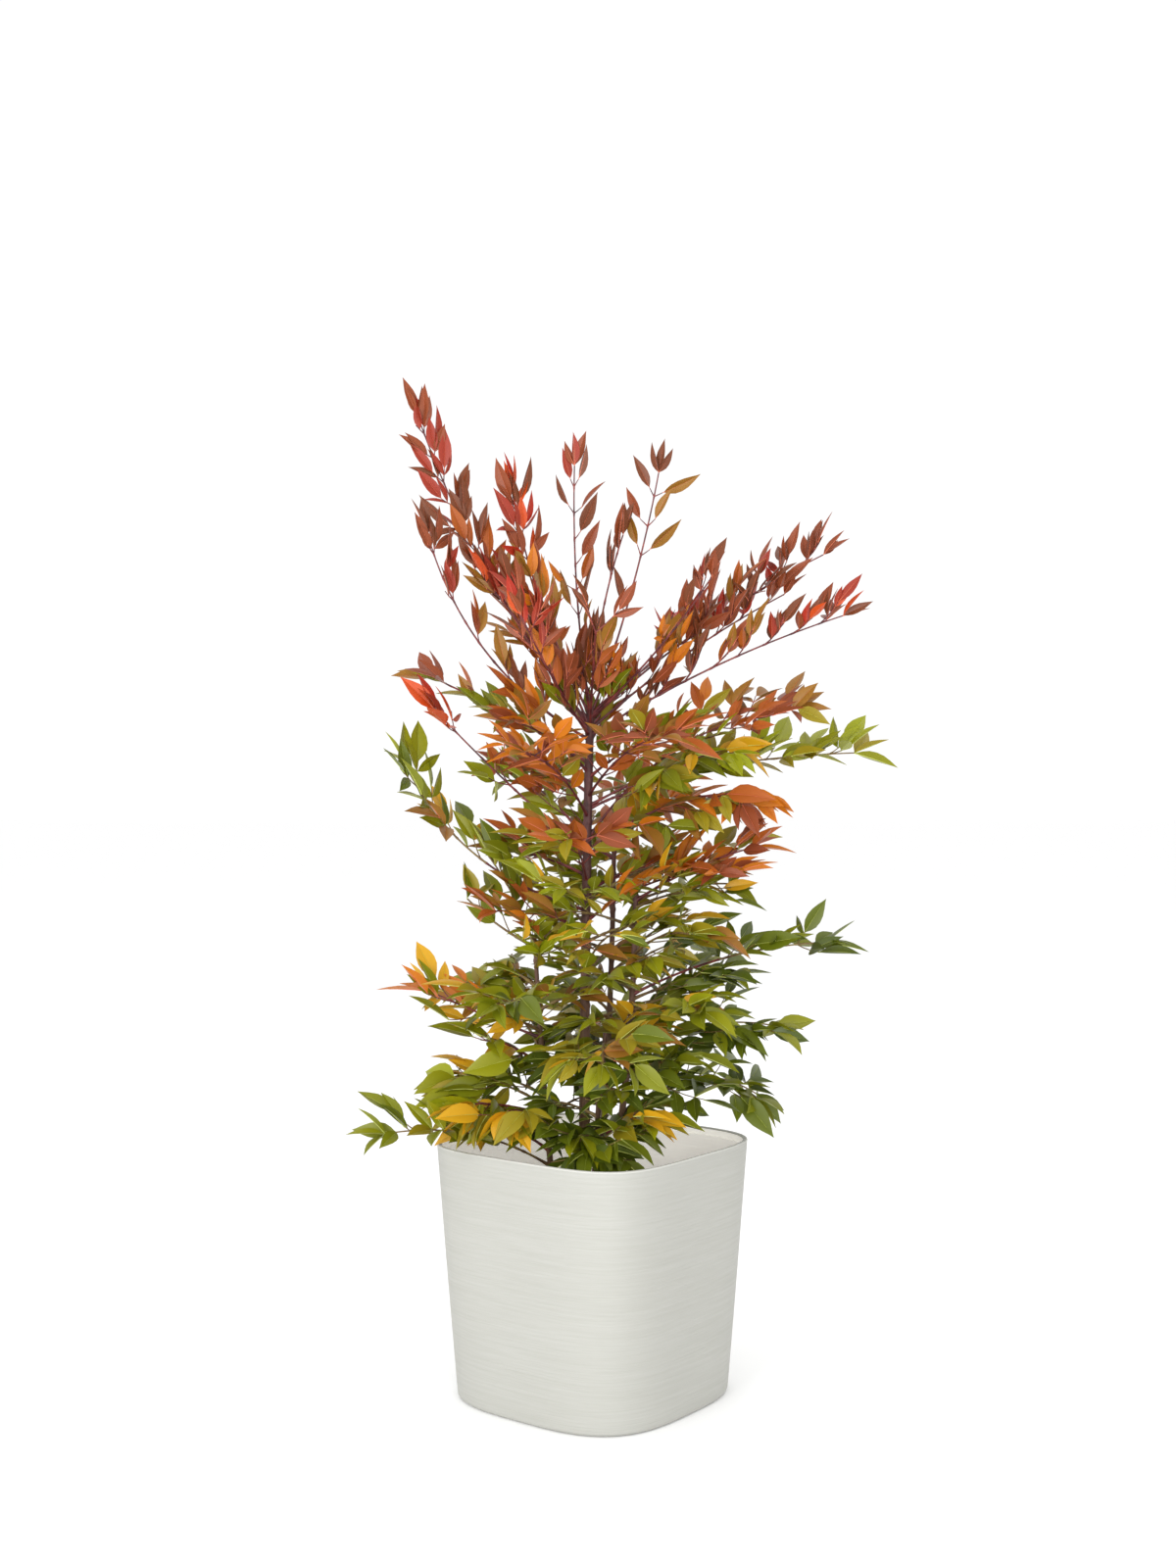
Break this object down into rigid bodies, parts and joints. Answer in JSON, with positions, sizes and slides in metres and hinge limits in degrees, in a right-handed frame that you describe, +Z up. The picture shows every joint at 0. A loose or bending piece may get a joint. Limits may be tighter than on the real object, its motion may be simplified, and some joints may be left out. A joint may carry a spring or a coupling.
{
  "type": "potted heavenly bamboo shrub",
  "caption": "Upright shrub of slender canes with feathery compound leaves, red above and green below, growing in a rounded square planter.",
  "frame": {"origin": "middle of the planter's flat underside", "axes": "+Z up along the planter's middle, +X to the right and +Y to the back when one corner of the planter faces the viewer"},
  "size_m": [0.5629, 0.4229, 1.0414],
  "materials": {
    "pot": "off-white matte plastic with fine horizontal brushed lines",
    "soil": "dark crumbly potting mix of bark and peat",
    "cane": "dull purple-brown bark, greener near the foot",
    "stalk": "smooth dark red stalk",
    "foliage_scarlet": "thin bright red autumn leaflets with a soft sheen",
    "foliage_bronze": "thin red-brown leaflets with a soft sheen",
    "foliage_orange": "thin orange autumn leaflets with a soft sheen",
    "foliage_amber": "thin yellow autumn leaflets with a soft sheen",
    "foliage_olive": "thin olive green leaflets with a soft sheen",
    "foliage_lime": "thin light yellow-green leaflets with a soft sheen",
    "foliage_green": "thin mid green leaflets with a soft sheen",
    "foliage_deep": "thin dark green leaflets with a soft sheen"
  },
  "bodies": {
    "root": {"pot": "pot", "soil": "soil", "cane_main": "cane", "cane_right": "cane", "cane_left": "cane", "cane_back": "cane", "cane_front": "cane", "bough_plume_left_tall": "stalk", "leaf_plume_left_tall": "foliage_bronze", "leaf_plume_left": "foliage_bronze", "leaf_plume_inner_left": "foliage_scarlet", "leaf_plume_middle": "foliage_bronze", "leaf_plume_right": "foliage_bronze", "leaf_comb_right_high": "foliage_bronze", "leaf_comb_right_low": "foliage_scarlet", "leaf_comb_inner_right": "foliage_bronze", "leaf_plume_front": "foliage_bronze", "leaf_plume_front_left": "foliage_scarlet", "leaf_plume_back_left": "foliage_bronze", "leaf_plume_back_right": "foliage_scarlet", "bough_left_scarlet": "stalk", "leaf_left_scarlet": "foliage_scarlet", "leaf_left_olive": "foliage_olive", "bough_left_green": "stalk", "leaf_left_green": "foliage_green", "leaf_left_lime": "foliage_lime", "leaf_left_amber": "foliage_orange", "bough_right_bronze": "stalk", "leaf_right_bronze": "foliage_bronze", "leaf_right_lime": "foliage_lime", "leaf_right_orange": "foliage_orange", "leaf_right_ember": "foliage_orange", "leaf_front_ember_left": "foliage_orange", "leaf_front_orange": "foliage_orange", "leaf_front_bronze_right": "foliage_bronze", "leaf_inner_bronze_left": "foliage_bronze", "leaf_inner_orange_right": "foliage_orange", "leaf_inner_green_right": "foliage_green", "leaf_back_olive_left": "foliage_olive", "leaf_back_orange_right": "foliage_orange", "leaf_back_lime": "foliage_lime", "leaf_right_green": "foliage_green", "bough_right_green_far": "stalk", "leaf_right_green_far": "foliage_deep", "leaf_right_green_low": "foliage_deep", "leaf_right_green_foot": "foliage_deep", "leaf_front_green_middle": "foliage_green", "leaf_front_green_right": "foliage_green", "leaf_front_green_low": "foliage_green", "leaf_front_green_left": "foliage_green", "leaf_left_ember_low": "foliage_orange", "leaf_left_amber_low": "foliage_amber", "leaf_left_skirt": "foliage_lime", "leaf_left_far_skirt": "foliage_green", "leaf_front_left_skirt": "foliage_amber", "leaf_front_skirt": "foliage_deep", "leaf_front_right_skirt": "foliage_amber", "leaf_back_green_left": "foliage_green", "leaf_back_green_right": "foliage_deep", "leaf_back_green_low": "foliage_green"}
  },
  "joints": []
}
